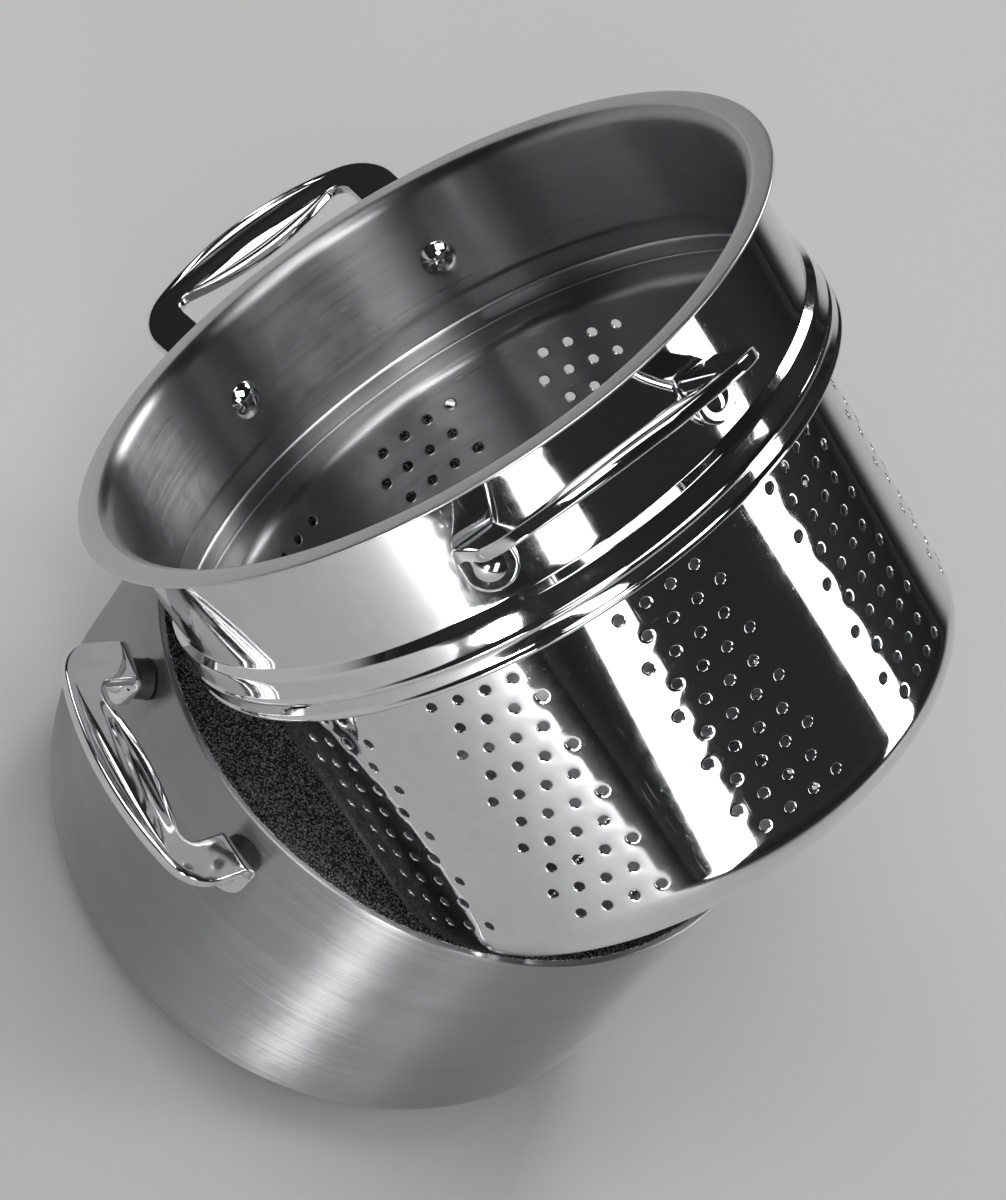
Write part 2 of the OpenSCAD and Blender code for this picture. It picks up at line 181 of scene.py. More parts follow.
def newGroup(name, inputs, outputs):
    # inputs and outputs are {name: default}; a tuple makes a vector socket
    group = bpy.data.node_groups.new(name, "ShaderNodeTree")
    for way, sockets in (("INPUT", inputs), ("OUTPUT", outputs)):
        for label, default in sockets.items():
            kind = "NodeSocketVector" if isinstance(default, tuple) else "NodeSocketFloat"
            socket = group.interface.new_socket(name=label, in_out=way, socket_type=kind)
            socket.default_value = default
    return group, group.nodes.new("NodeGroupInput").outputs, group.nodes.new("NodeGroupOutput").inputs


def useGroup(tree, group, **inputs):
    return put(tree, "ShaderNodeGroup", inputs, node_tree=group).outputs


def newMaterial(name):
    material = bpy.data.materials.new(name)
    material.use_nodes = True
    tree = material.node_tree
    spot = put(tree, "ShaderNodeAttribute", attribute_name="ownSpot").outputs["Vector"]
    return material, tree, tree.nodes["Principled BSDF"], spot


# lines left by turning: they run round the piece's axis, and crowd along its profile
turnedLines, given, sent = newGroup(
    "turnedLines",
    {"Spot": (0.0, 0.0, 0.0), "Lines": 2000.0, "Round": 12.0},
    {"Line": 0.5, "Band": 0.5},
)
parts = put(turnedLines, "ShaderNodeSeparateXYZ", {0: given["Spot"]}).outputs
outwards = put(turnedLines, "ShaderNodeVectorMath", {0: given["Spot"]}, operation="LENGTH")
along = maths(turnedLines, "ADD", parts["Z"], outwards.outputs["Value"])
for label, share in (("Line", 1.0), ("Band", 0.05)):
    crowding = maths(turnedLines, "MULTIPLY", given["Lines"], share)
    lined = put(turnedLines, "ShaderNodeCombineXYZ", {
        "X": maths(turnedLines, "MULTIPLY", parts["X"], given["Round"]),
        "Y": maths(turnedLines, "MULTIPLY", parts["Y"], given["Round"]),
        "Z": maths(turnedLines, "MULTIPLY", along, crowding),
    }).outputs[0]
    noise = put(turnedLines, "ShaderNodeTexNoise", {
        "Vector": lined, "Scale": 1.0, "Detail": 3.0, "Roughness": 0.6})
    turnedLines.links.new(noise.outputs["Fac"], sent[label])

# hands, cloth and steam: soft dull patches with a few finer wisps in them
handledFilm, given, sent = newGroup(
    "handledFilm",
    {"Spot": (0.0, 0.0, 0.0), "Patches": 25.0, "Cover": 0.5},
    {"Film": 0.0},
)
broad = put(handledFilm, "ShaderNodeTexNoise", {
    "Vector": given["Spot"], "Scale": given["Patches"], "Detail": 2.0, "Distortion": 0.6})
wisps = put(handledFilm, "ShaderNodeTexNoise", {
    "Vector": given["Spot"], "Scale": maths(handledFilm, "MULTIPLY", given["Patches"], 9.0),
    "Detail": 4.0})
mixedFilm = maths(handledFilm, "MULTIPLY", broad.outputs["Fac"], wisps.outputs["Fac"])
edge = maths(handledFilm, "SUBTRACT", 0.62, maths(handledFilm, "MULTIPLY", given["Cover"], 0.5))
film = ranged(handledFilm, mixedFilm, maths(handledFilm, "MULTIPLY", edge, 0.5), edge, 0.0, 1.0)
handledFilm.links.new(film, sent["Film"])

# hairlines from washing, in three crossing directions
fineScratches, given, sent = newGroup(
    "fineScratches",
    {"Spot": (0.0, 0.0, 0.0), "Size": 60.0, "Rare": 0.72},
    {"Scratch": 0.0},
)
total = None
for stretch in ((1.0, 0.03, 0.4), (0.05, 1.0, 0.3), (0.5, 0.4, 0.03)):
    stretched = put(fineScratches, "ShaderNodeVectorMath", {0: given["Spot"], 1: stretch},
                    operation="MULTIPLY").outputs[0]
    lines = put(fineScratches, "ShaderNodeTexNoise", {
        "Vector": stretched, "Scale": maths(fineScratches, "MULTIPLY", given["Size"], 60.0),
        "Detail": 1.0, "Distortion": 0.2}).outputs["Fac"]
    strong = ranged(fineScratches, lines, given["Rare"], 0.8, 0.0, 1.0)
    total = strong if total is None else maths(fineScratches, "MAXIMUM", total, strong)
fineScratches.links.new(total, sent["Scratch"])

# bright specks in a dark coating: partly the coating's own flecks, partly painted glints for its sparkle
coatingSpecksAndGlints, given, sent = newGroup(
    "coatingSpecksAndGlints",
    {"Spot": (0.0, 0.0, 0.0), "Specks": 900.0, "Share": 0.4},
    {"SpeckAndGlint": 0.0, "Grit": 0.0},
)
cells = put(coatingSpecksAndGlints, "ShaderNodeTexVoronoi", {"Vector": given["Spot"], "Scale": given["Specks"]})
chance = put(coatingSpecksAndGlints, "ShaderNodeSeparateColor", {0: cells.outputs["Color"]}).outputs
rarest = maths(coatingSpecksAndGlints, "SUBTRACT", 1.0, given["Share"])
full = maths(coatingSpecksAndGlints, "SUBTRACT", 1.25, given["Share"])
picked = ranged(coatingSpecksAndGlints, chance[0], rarest, full, 0.0, 1.0)
roundSpeck = ranged(coatingSpecksAndGlints, cells.outputs["Distance"], 0.25, 0.55, 1.0, 0.0)
coatingSpecksAndGlints.links.new(maths(coatingSpecksAndGlints, "MULTIPLY", picked, roundSpeck), sent["SpeckAndGlint"])
grit = put(coatingSpecksAndGlints, "ShaderNodeTexNoise", {
    "Vector": given["Spot"], "Scale": maths(coatingSpecksAndGlints, "MULTIPLY", given["Specks"], 1.3),
    "Detail": 2.0})
coatingSpecksAndGlints.links.new(grit.outputs["Fac"], sent["Grit"])


# materials

mirror = {"colour": (0.76, 0.76, 0.77), "gloss": 0.045, "film": 0.035, "patches": 22.0, "cover": 0.5,
          "dulled": 0.94, "scratch": 0.08, "hairlines": 40.0, "rare": 0.7, "lines": 2600.0, "round": 8.0,
          "lineShare": 0.012, "waves": 11.0, "wave": 0.00006}


def filmOn(tree, spot, look):
    return useGroup(tree, handledFilm, Spot=spot, Patches=look["patches"], Cover=look["cover"])["Film"]


def scratchesOn(tree, spot, look):
    return useGroup(tree, fineScratches, Spot=spot, Size=look["hairlines"], Rare=look["rare"])["Scratch"]


def mirrorMaterial(name, look):
    material, tree, shader, spot = newMaterial(name)
    film = filmOn(tree, spot, look)
    scratch = scratchesOn(tree, spot, look)
    lines = useGroup(tree, turnedLines, Spot=spot, Lines=look["lines"], Round=look["round"])
    rough = maths(tree, "MULTIPLY_ADD", film, look["film"], look["gloss"])
    rough = maths(tree, "MULTIPLY_ADD", scratch, look["scratch"], rough)
    tree.links.new(rough, shader.inputs["Roughness"])
    slow = put(tree, "ShaderNodeTexNoise", {
        "Vector": spot, "Scale": look["waves"], "Detail": 0.0}).outputs["Fac"]
    height = maths(tree, "MULTIPLY_ADD", lines["Line"], look["lineShare"], slow)
    bump = put(tree, "ShaderNodeBump", {"Height": height, "Distance": look["wave"], "Strength": 1.0})
    tree.links.new(bump.outputs[0], shader.inputs["Normal"])
    tone = ranged(tree, film, 0.0, 1.0, 1.0, look["dulled"])
    colour = put(tree, "ShaderNodeVectorMath", {0: look["colour"], "Scale": tone}, operation="SCALE")
    tree.links.new(colour.outputs[0], shader.inputs["Base Color"])
    shader.inputs["Metallic"].default_value = 1.0
    return material


def brushedMaterial(name, look):
    material, tree, shader, spot = newMaterial(name)
    lines = useGroup(tree, turnedLines, Spot=spot, Lines=look["lines"], Round=look["round"])
    film = filmOn(tree, spot, look)
    scratch = scratchesOn(tree, spot, look)
    both = maths(tree, "MULTIPLY_ADD", lines["Band"], look["bands"], lines["Line"])
    rough = ranged(tree, lines["Line"], 0.25, 0.75, *look["rough"])
    rough = maths(tree, "MULTIPLY_ADD", film, look["film"], rough)
    rough = maths(tree, "MULTIPLY_ADD", scratch, look["scratch"], rough)
    tree.links.new(rough, shader.inputs["Roughness"])
    shade = ranged(tree, both, 0.2, 0.8 + look["bands"] * 0.6, 1 - look["contrast"], 1.0)
    colour = put(tree, "ShaderNodeVectorMath", {0: look["colour"], "Scale": shade}, operation="SCALE")
    tree.links.new(colour.outputs[0], shader.inputs["Base Color"])
    bump = put(tree, "ShaderNodeBump", {"Height": both, "Distance": look["depth"], "Strength": 1.0})
    tree.links.new(bump.outputs[0], shader.inputs["Normal"])
    tangent = put(tree, "ShaderNodeTangent", direction_type="UV_MAP", uv_map="turned")
    tree.links.new(tangent.outputs[0], shader.inputs["Tangent"])
    shader.inputs["Metallic"].default_value = 1.0
    shader.inputs["Anisotropic"].default_value = look["aniso"]
    shader.inputs["Anisotropic Rotation"].default_value = 0.25
    return material


usedSteel = {"film": 0.05, "patches": 16.0, "cover": 0.45, "scratch": 0.08, "hairlines": 30.0, "rare": 0.7}
# the pot's colour is set darker than bare stainless: painted shade for the shaded sides of its walls
shadedPotSteel = usedSteel | {"colour": (0.48, 0.48, 0.49), "rough": (0.3, 0.44), "lines": 1300.0, "round": 5.0,
                        "bands": 0.5, "contrast": 0.34, "depth": 0.00001, "aniso": 0.92}
# the strainer's inside takes a darker colour than the same sheet's lip: painted shade for the inside of the
# basket
shadedInsideSteel = usedSteel | {"colour": (0.44, 0.44, 0.45), "rough": (0.26, 0.36), "lines": 1700.0,
                           "round": 5.0, "bands": 0.35, "contrast": 0.2, "depth": 0.000006, "aniso": 0.95}
lipSteel = usedSteel | {"colour": (0.7, 0.7, 0.71), "rough": (0.26, 0.36), "lines": 3000.0, "round": 10.0,
                        "bands": 0.2, "contrast": 0.14, "depth": 0.000008, "aniso": 0.3}
# the near-white specks are partly the coating's own flecks and partly painted glints for its sparkle
coating = {"dark": (0.035, 0.035, 0.036), "fleckAndGlint": (0.95, 0.95, 0.97), "specks": 1250.0, "share": 0.95,
           "largeSpecks": 0.55, "largeShare": 0.35, "rough": (0.34, 0.5), "patches": 14.0, "cover": 0.5,
           "grit": 0.00008}
spacerBlack = {"colour": (0.012, 0.012, 0.013), "rough": (0.42, 0.6), "patches": 60.0, "cover": 0.5,
               "grains": 1800.0, "tone": (0.7, 1.5), "grain": 0.00002}


def coatingMaterial(name, look):
    material, tree, shader, spot = newMaterial(name)
    fine = useGroup(tree, coatingSpecksAndGlints, Spot=spot, Specks=look["specks"], Share=look["share"])
    large = useGroup(tree, coatingSpecksAndGlints, Spot=spot, Specks=look["specks"] * look["largeSpecks"],
                     Share=look["share"] * look["largeShare"])
    # fine and large specks together: the coating's flecks, with painted glints for its sparkle
    speckAndGlint = maths(tree, "MAXIMUM", fine["SpeckAndGlint"], large["SpeckAndGlint"])
    colour = put(tree, "ShaderNodeMix", {"Factor": speckAndGlint}, data_type="RGBA")
    colour.inputs[6].default_value = (*look["dark"], 1.0)
    colour.inputs[7].default_value = (*look["fleckAndGlint"], 1.0)
    tree.links.new(colour.outputs[2], shader.inputs["Base Color"])
    film = filmOn(tree, spot, look)
    tree.links.new(ranged(tree, film, 0.0, 1.0, *look["rough"]), shader.inputs["Roughness"])
    bump = put(tree, "ShaderNodeBump", {
        "Height": fine["Grit"], "Distance": look["grit"], "Strength": 1.0})
    tree.links.new(bump.outputs[0], shader.inputs["Normal"])
    return material


def mouldedMaterial(name, look):
    material, tree, shader, spot = newMaterial(name)
    grain = put(tree, "ShaderNodeTexNoise", {
        "Vector": spot, "Scale": look["grains"], "Detail": 3.0}).outputs["Fac"]
    film = filmOn(tree, spot, look)
    tree.links.new(ranged(tree, film, 0.0, 1.0, *look["rough"]), shader.inputs["Roughness"])
    tone = ranged(tree, grain, 0.3, 0.7, *look["tone"])
    colour = put(tree, "ShaderNodeVectorMath", {0: look["colour"], "Scale": tone}, operation="SCALE")
    tree.links.new(colour.outputs[0], shader.inputs["Base Color"])
    bump = put(tree, "ShaderNodeBump", {"Height": grain, "Distance": look["grain"], "Strength": 1.0})
    tree.links.new(bump.outputs[0], shader.inputs["Normal"])
    return material


polishedOutside = mirrorMaterial("polishedOutside", mirror)
polishedCast = mirrorMaterial("polishedCast", mirror | {"gloss": 0.06, "wave": 0.00002})
# brushedInside carries the basket's painted shade in its darker colour
brushedInside = brushedMaterial("brushedInside", shadedInsideSteel)
# brushedPot carries the pot's painted shade in its darker colour
brushedPot = brushedMaterial("brushedPot", shadedPotSteel)
satinLip = brushedMaterial("satinLip", lipSteel)
speckledCoating = coatingMaterial("speckledCoating", coating)
blackMoulding = mouldedMaterial("blackMoulding", spacerBlack)
print("materials ready,", len(bpy.data.materials))


# pot: a turned shell with its lining

pot = {"innerRadius": 118.0, "wall": 2.6, "lining": 0.4, "belly": 45.0, "rim": 142.6,
       "columns": 360, "edge": 0.7, "liningEdge": 0.3}


def potOutline(inset):
    radius = pot["innerRadius"] + pot["wall"] - inset
    turn = pot["belly"] + pot["wall"] - inset
    return [(0, inset)] + arc((radius - turn, inset + turn), turn, -90, 0, 2)


def turnedRings(path, columns):
    # rings of points round the axis, with one point where the path starts or ends on it
    angles = 2 * math.pi * np.arange(columns) / columns
    points, rings = [], []
    for radius, height in path:
        count = 1 if radius < 1e-6 else columns
        rings.append(list(range(len(points), len(points) + count)))
        points += [(radius * math.cos(t), radius * math.sin(t), height) for t in angles[:count]]
    faces = []
    for a, b in zip(rings, rings[1:]):
        if len(a) == 1:
            faces += [(a[0], b[(k + 1) % columns], b[k]) for k in range(columns)]
        elif len(b) == 1:
            faces += [(a[k], a[(k + 1) % columns], b[0]) for k in range(columns)]
        else:
            faces += ringFaces(a, b)
    return np.array(points), faces


def turnedPath(path, spread=0.12, spacing=0.15, turn=3, reach=4):
    # a profile with its corners eased, kept off the far side of the axis
    dense = softened(path, spread, spacing)
    dense[:, 0] = np.maximum(dense[:, 0], 0)
    return dense[thinned(dense, turn, reach)]


def makePot():
    outer = pot["innerRadius"] + pot["wall"]
    shell = pot["wall"] - pot["lining"]
    edge = pot["edge"]
    shellPath = potOutline(0) + arc((outer - edge, pot["rim"] - edge), edge, 0, 90)
    shellPath += [(outer - shell, pot["rim"])] + potOutline(shell)[::-1]
    points, faces = turnedRings(turnedPath(shellPath), pot["columns"])
    makePiece("pot_shell", points * mm, faces, "pot", [brushedPot], replaced=["pot_body"])
    inner = pot["innerRadius"]
    edge = pot["liningEdge"]
    liningPath = potOutline(shell) + [(outer - shell, pot["rim"])]
    liningPath += arc((inner + edge, pot["rim"] - edge), edge, 90, 180) + potOutline(pot["wall"])[::-1]
    points, faces = turnedRings(turnedPath(liningPath, 0.08), pot["columns"])
    makePiece("pot_lining", points * mm, faces, "pot", [speckledCoating],
              replaced=["nonstick_lining"])


makePot()
print("pot turned")


# strainer: one drawn sheet, its holes punched as real openings

strainer = {"basket": 112.0, "sheet": 1.0, "corner": 20.0, "depth": 130.0, "collar": 123.0,
            "collarHeight": 64.0, "stepHeight": 20.0, "stepWidth": 2.5, "band": 7.0, "ridge": 1.4,
            "lip": 11.0, "lipBend": 4.0, "seatFillet": 3.0, "floorEdge": 86.0,
            "hole": 1.9, "pitch": 10.3, "groups": 10, "groupHoles": 4, "plainTop": 9.0,
            "cells": 6, "plainColumns": 14, "ringPitch": 18.0, "floorSpokes": 24, "satinFrom": 2.8,
            "eased": 0.35, "rowGap": 0.3, "lean": 59.0, "leanTurn": -56.3, "turn": -39.0}

# a hole's rim: how far out from the hole's edge, and how deep in the sheet
holeRim = [(1.1, 0.012), (0.42, 0.04), (0.2, 0.08), (0.05, 0.19), (0.0, 0.35),
           (0.0, 0.65), (0.05, 0.83), (0.2, 0.95), (0.42, 1.0), (1.1, 1.0)]


def strainerOutline():
    s = strainer
    band = s["depth"] + s["ridge"]
    top = s["depth"] + s["collarHeight"]
    path = [(0, 0)] + arc((s["basket"] - s["corner"], s["corner"]), s["corner"], -90, 0, 2)
    path += arc((s["basket"] + s["seatFillet"], s["depth"] - s["seatFillet"]), s["seatFillet"], 180, 90)
    path += arc((s["collar"] + s["stepWidth"], band), s["ridge"], -90, 60)
    path += arc((s["collar"] + s["stepWidth"], band + s["band"]), s["ridge"], -60, 60)
    path += [(s["collar"] + s["stepWidth"], s["depth"] + s["stepHeight"] - s["stepWidth"])]
    path += [(s["collar"], s["depth"] + s["stepHeight"])]
    path += arc((s["collar"] + s["lipBend"], top - s["lipBend"]), s["lipBend"], 180, 90)
    return path + [(s["collar"] + s["lip"] - s["sheet"] / 2, top)]


def sheetLevels(rowHeights):
    # every ring of the sheet: outside going up, round the lip's edge, inside coming down
    s = strainer
    dense = softened(strainerOutline(), s["eased"])
    normals = outwardNormals(dense)
    wall = np.arange(len(dense)) > np.argmax(dense[:, 0] > s["floorEdge"])
    first = int(np.argmax(wall))
    low = int(np.argmax(wall & (dense[:, 1] > rowHeights[0] - s["rowGap"])))
    high = int(np.argmax(wall & (dense[:, 1] > rowHeights[-1] + s["rowGap"])))
    under = [first + k for k in thinned(dense[first:low])]
    over = [high + k for k in thinned(dense[high:], turn=5)]
    rows = [((s["basket"], z), (1.0, 0.0)) for z in rowHeights]
    outside = [(tuple(dense[k]), tuple(normals[k])) for k in under] + rows
    outside += [(tuple(dense[k]), tuple(normals[k])) for k in over]
    rowStart = len(under)
    inside = [(p[0] - n[0] * s["sheet"], p[1] - n[1] * s["sheet"]) for p, n in outside]
    end = outside[-1][0]
    edge = arc((end[0], end[1] + s["sheet"] / 2), s["sheet"] / 2, -60, 60, 30)
    return [p for p, n in outside], edge, inside, rowStart


def columnAngles():
    s = strainer
    cell = s["pitch"] / s["basket"] / s["cells"]
    holed = s["groupHoles"] * s["cells"] + s["cells"] // 2
    sector = 2 * math.pi / s["groups"]
    plain = (sector - holed * cell) / s["plainColumns"]
    angles = []
    for group in range(s["groups"]):
        start = group * sector - holed * cell / 2
        angles += [start + cell * k for k in range(holed)]
        angles += [start + cell * holed + plain * k for k in range(s["plainColumns"])]
    return np.array(angles), holed + s["plainColumns"], cell


def holeRows():
    # how many rows of holes, and the heights of the wall's rings through them
    s = strainer
    top = s["depth"] - s["seatFillet"] - s["plainTop"]
    rows = int((top - s["corner"] - s["hole"]) // s["pitch"]) + 1
    lowest = top - (rows - 0.5) * s["pitch"]
    return rows, [lowest + s["pitch"] / s["cells"] * k for k in range(rows * s["cells"] + 1)]


columnTurns, groupColumns, cellTurn = columnAngles()
columnCount = len(columnTurns)


def at(level, column):
    # number of the sheet's point at a level and a column
    return level * columnCount + column % columnCount


def wallHoles(rows, rowStart):
    # lowest level and first column of the square that each hole is cut in; rows are staggered
    s = strainer
    holes = []
    for row in range(rows):
        level = rowStart + (rows - 1 - row) * s["cells"]
        shift = 0 if row % 2 == 0 else s["cells"] // 2
        for group in range(s["groups"]):
            first = group * groupColumns + shift
            holes += [(level, first + k * s["cells"]) for k in range(s["groupHoles"])]
    return holes


def sheetFaces(levels, outsideCount, holes):
    # the sheet without its holes' squares, and which material each face takes
    s = strainer
    cells = range(s["cells"])
    holed = {(level + i, column + j) for level, column in holes for i in cells for j in cells}
    last = len(levels) - 1
    faces, pick = [], []
    for level in range(last):
        opposite = last - 1 - level
        onLip = levels[level][0] > s["collar"] + s["satinFrom"]
        kind = 0 if level < outsideCount else 2 if onLip else 1
        for column in range(columnCount):
            if (level, column) in holed or (opposite, column) in holed:
                continue
            faces.append((at(level, column), at(level, column + 1),
                          at(level + 1, column + 1), at(level + 1, column)))
            pick.append(kind)
    return faces, pick


def punchWall(points, faces, pick, levels, holes):
    # each hole's rounded rim, from its square outside to its square inside
    s = strainer
    size = s["cells"]
    last = len(levels) - 1
    border = [(0, j) for j in range(size)] + [(i, size) for i in range(size)]
    border += [(size, j) for j in range(size, 0, -1)] + [(i, 0) for i in range(size, 0, -1)]
    away = np.array([(j - size / 2, i - size / 2) for i, j in border], float)
    away /= np.linalg.norm(away, axis=1)[:, None]
    outsideRings = len(holeRim) // 2 + 1
    for level, column in holes:
        centre = columnTurns[column % columnCount] + cellTurn * size / 2
        height = levels[level][1] + s["pitch"] / 2
        rings = [[at(level + i, column + j) for i, j in border]]
        for out, deep in holeRim:
            rings.append(list(range(len(points), len(points) + len(away))))
            r = s["basket"] - deep * s["sheet"]
            for dx, dz in away * (s["hole"] + out):
                turn = centre + dx / s["basket"]
                points.append((r * math.cos(turn), r * math.sin(turn), height + dz))
        rings.append([at(last - level - i, column + j) for i, j in border])
        for k, (a, b) in enumerate(zip(rings, rings[1:])):
            faces += ringFaces(a, b)
            pick += [0 if k < outsideRings else 1] * len(a)


def floorCentres():
    # one hole in the middle, and six more on each ring than on the one inside it
    s = strainer
    rings = int((s["basket"] - s["corner"] - 2 * s["hole"]) // s["ringPitch"])
    centres = []
    for ring in range(rings + 1):
        radius = ring * s["ringPitch"]
        for k in range(max(6 * ring, 1)):
            turn = math.radians(60 / max(ring, 1) * k)
            centres.append((radius * math.cos(turn), radius * math.sin(turn)))
    return centres


def flatFloor(firstRing, centres, spokes):
    # the floor in plan: its points, its triangles, and where each ring's points went
    flat = [(firstRing * math.cos(a), firstRing * math.sin(a)) for a in columnTurns]
    edges = [(k, (k + 1) % columnCount) for k in range(columnCount)]
    radius = strainer["hole"] + holeRim[0][0]
    for x, y in centres:
        base = len(flat)
        flat += [(x + radius * math.cos(t), y + radius * math.sin(t)) for t in spokes]
        edges += [(base + k, base + (k + 1) % len(spokes)) for k in range(len(spokes))]
    plain = delaunay_2d_cdt([Vector(p) for p in flat], edges, [], 1, 1e-5)  # 1 keeps what the edges enclose
    spots = np.array([tuple(v) for v in plain[0]])
    where = {old: new for new, olds in enumerate(plain[3]) for old in olds}
    middles = np.array(centres)
    triangles = []
    for tri in plain[2]:
        if np.hypot(*(middles - spots[list(tri)].mean(0)).T).min() > strainer["hole"]:
            a, b, c = spots[list(tri)]
            left = (b[0] - a[0]) * (c[1] - a[1]) - (b[1] - a[1]) * (c[0] - a[0]) > 0
            triangles.append(tuple(tri) if left else tuple(tri)[::-1])
    return spots, triangles, where


def punchFloor(points, faces, pick, firstRing, last):
    # both sides of the floor inside the wall's first ring, and the rims of its holes
    s = strainer
    centres = floorCentres()
    count = s["floorSpokes"]
    spokes = [2 * math.pi * k / count for k in range(count)]
    spots, triangles, where = flatFloor(firstRing, centres, spokes)
    lower = {where[k]: at(0, k) for k in range(columnCount)}
    upper = {where[k]: at(last, k) for k in range(columnCount)}
    for new, spot in enumerate(spots):
        if new not in lower:
            lower[new] = len(points)
            upper[new] = len(points) + 1
            points += [(*spot, 0.0), (*spot, s["sheet"])]
    for tri in triangles:
        faces.append(tuple(lower[k] for k in tri[::-1]))
        faces.append(tuple(upper[k] for k in tri))
        pick += [0, 1]
    for h, (x, y) in enumerate(centres):
        own = [where[columnCount + h * count + k] for k in range(count)]
        a = [lower[k] for k in own]
        for out, deep in holeRim[1:-1]:
            b = list(range(len(points), len(points) + count))
            radius = s["hole"] + out
            points += [(x + radius * math.cos(t), y + radius * math.sin(t), deep * s["sheet"])
                       for t in spokes]
            faces += ringFaces(b, a)
            pick += [0] * count
            a = b
        faces += ringFaces([upper[k] for k in own], a)
        pick += [1] * count


def makeStrainer():
    rows, rowHeights = holeRows()
    outside, edge, inside, rowStart = sheetLevels(rowHeights)
    levels = outside + edge + inside[::-1]
    rounded = np.stack([np.cos(columnTurns), np.sin(columnTurns)], axis=1)
    points = [(r * c[0], r * c[1], z) for r, z in levels for c in rounded]
    holes = wallHoles(rows, rowStart)
    faces, pick = sheetFaces(levels, len(outside), holes)
    punchWall(points, faces, pick, levels, holes)
    punchFloor(points, faces, pick, outside[0][0], len(levels) - 1)
    return np.array(points, float), faces, pick


def strainerMatrix(points):
    # turned as it leans, then set so that its box is the frame's own
    turn = Matrix.Rotation(math.radians(strainer["leanTurn"]), 4, "Z")
    turn = turn @ Matrix.Rotation(math.radians(-strainer["lean"]), 4, "Y")
    turn = turn @ Matrix.Rotation(math.radians(strainer["turn"]), 4, "Z")
    placed = moved(points * mm, turn)
    low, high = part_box("strainer_basket")
    shift = (low + high) / 2 - (Vector(placed.min(0)) + Vector(placed.max(0))) / 2
    return Matrix.Translation(shift) @ turn


points, faces, pick = makeStrainer()
strainerPlace = strainerMatrix(points)
makePiece("strainer_sheet", moved(points * mm, strainerPlace), faces, "strainer",
          [polishedOutside, brushedInside, satinLip], pick, ["strainer_basket"], points * mm)
print("strainer drawn,", len(faces), "faces")


# loop handles: tab, bend, arm, corner, and a grip with two scooped lenses

handleForm = {"plate": 4.4, "edge": 1.2, "tab": 9.5, "tabTop": 5.8, "bend": 4.5, "arm": 16.5,
              "armTurn": 6.0, "grip": 22.0, "outerCorner": 17.0, "innerCorner": 5.0,
              "outerGrip": 110.0, "innerGrip": -95.0, "ridge": 3.4, "rim": 1.5, "crown": 1.3,
              "crownWidth": 0.62, "crownFall": 1.2, "swell": 1.6, "scoop": 1.6, "scoopShape": (1.25, 0.5),
              "belly": 1.2, "narrowest": 0.6, "lensTip": 0.04, "lensPower": 0.75, "closedLens": 0.04,
              "footTurn": 5.0, "tabSteps": 10, "bendSteps": 8, "armSteps": 6, "cornerSteps": 22,
              "gripSteps": 40}
potHandle = handleForm | {"face": 128.6, "angle": 17.4, "height": 127.6, "reach": 163.55, "rise": 10.0}
strainerHandle = handleForm | {"face": 123.0, "angle": 21.0, "height": 165.0, "reach": 180.85,
                               "rise": 19.0, "armTurn": 2.0, "outerCorner": 21.0}


def gripEdge(h, offset, corner, bow, end):
    # half of one edge in plan: straight beside the arm, round the corner, and along the grip
    along = np.array([math.cos(math.radians(h["armTurn"])), math.sin(math.radians(h["armTurn"]))])
    across = np.array([-along[1], along[0]])
    side = math.copysign(1, bow)
    hub = np.array([end - bow, 0.0])
    out = offset - corner
    gap = abs(bow - corner)
    under = (hub @ along) ** 2 - (hub @ hub + out * out - 2 * out * (hub @ across) - gap * gap)
    centre = (hub @ along + side * math.sqrt(under)) * along + out * across
    start = centre + corner * across
    toHub = side * (centre - hub) / gap
    first = math.radians(90 + h["armTurn"])
    last = math.atan2(toHub[1], toHub[0])
    bend = [centre + corner * np.array([math.cos(t), math.sin(t)])
            for t in np.linspace(first, last, h["cornerSteps"] + 1)]
    swing = math.asin(bend[-1][1] / abs(bow))
    grip = [hub + bow * np.array([math.cos(t), math.sin(t) * side])
            for t in np.linspace(swing, 0, h["gripSteps"] + 1)]
    return start, bend, grip


